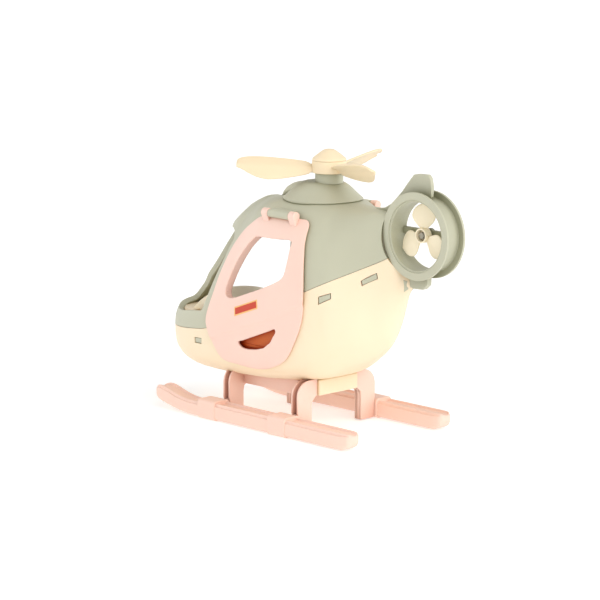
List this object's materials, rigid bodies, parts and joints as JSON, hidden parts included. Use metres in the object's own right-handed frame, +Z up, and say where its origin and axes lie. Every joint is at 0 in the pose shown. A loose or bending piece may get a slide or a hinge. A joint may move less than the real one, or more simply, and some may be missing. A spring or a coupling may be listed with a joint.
{
  "type": "toy helicopter",
  "caption": "Moulded plastic toy helicopter with an egg-shaped body, top-hinged doors, a main rotor, a ducted tail rotor and skids.",
  "frame": {"origin": "middle of the whole toy's footprint, on the floor under the skids", "axes": "+X to the nose, +Y to the toy's left side, +Z up"},
  "size_m": [0.2832, 0.125, 0.2093],
  "materials": {
    "green_plastic": "satin",
    "cream_plastic": "satin",
    "pink_plastic": "satin",
    "dark_plastic": "matte",
    "orange_plastic": "matte"
  },
  "bodies": {
    "airframe": {"upper_shell": "green_plastic", "roof_dome": "green_plastic", "mast_collar": "green_plastic", "tail_duct": "green_plastic", "top_fin": "green_plastic", "bottom_fin": "green_plastic", "hinge_block_left": "green_plastic", "hinge_block_right": "green_plastic", "snap_clip_front_left": "green_plastic", "snap_clip_front_right": "green_plastic", "snap_clip_middle_left": "green_plastic", "snap_clip_middle_right": "green_plastic", "snap_clip_rear_left": "green_plastic", "snap_clip_rear_right": "green_plastic", "lower_shell": "cream_plastic", "leg_front_left": "pink_plastic", "leg_front_right": "pink_plastic", "leg_rear_left": "pink_plastic", "leg_rear_right": "pink_plastic", "beam_left": "pink_plastic", "beam_right": "pink_plastic", "skid_left": "pink_plastic", "skid_right": "pink_plastic", "tail_axle": "dark_plastic", "nose_nub": "dark_plastic", "cabin_tray": "orange_plastic"},
    "main_rotor_set": {"main_rotor": "cream_plastic", "rotor_cap": "cream_plastic"},
    "tail_rotor": {"tail_rotor": "cream_plastic"},
    "door_left": {"door_left": "pink_plastic"},
    "door_right": {"door_right": "pink_plastic"}
  },
  "joints": [
    {"name": "main_rotor_spin", "type": "hinge", "parent": "airframe", "child": "main_rotor_set", "pos_m": [-0.01255, 0.00573, 0.1956], "axis": [0, 0, 1], "continuous": true},
    {"name": "tail_rotor_spin", "type": "hinge", "parent": "airframe", "child": "tail_rotor", "pos_m": [-0.10955, 0.00573, 0.1556], "axis": [0, 1, 0], "continuous": true},
    {"name": "door_left_hinge", "type": "hinge", "parent": "airframe", "child": "door_left", "pos_m": [-0.00455, 0.04833, 0.1638], "axis": [1, 0, 0], "range_deg": [0, 88]},
    {"name": "door_right_hinge", "type": "hinge", "parent": "airframe", "child": "door_right", "pos_m": [-0.00455, -0.03687, 0.1638], "axis": [-1, 0, 0], "range_deg": [0, 88]}
  ]
}
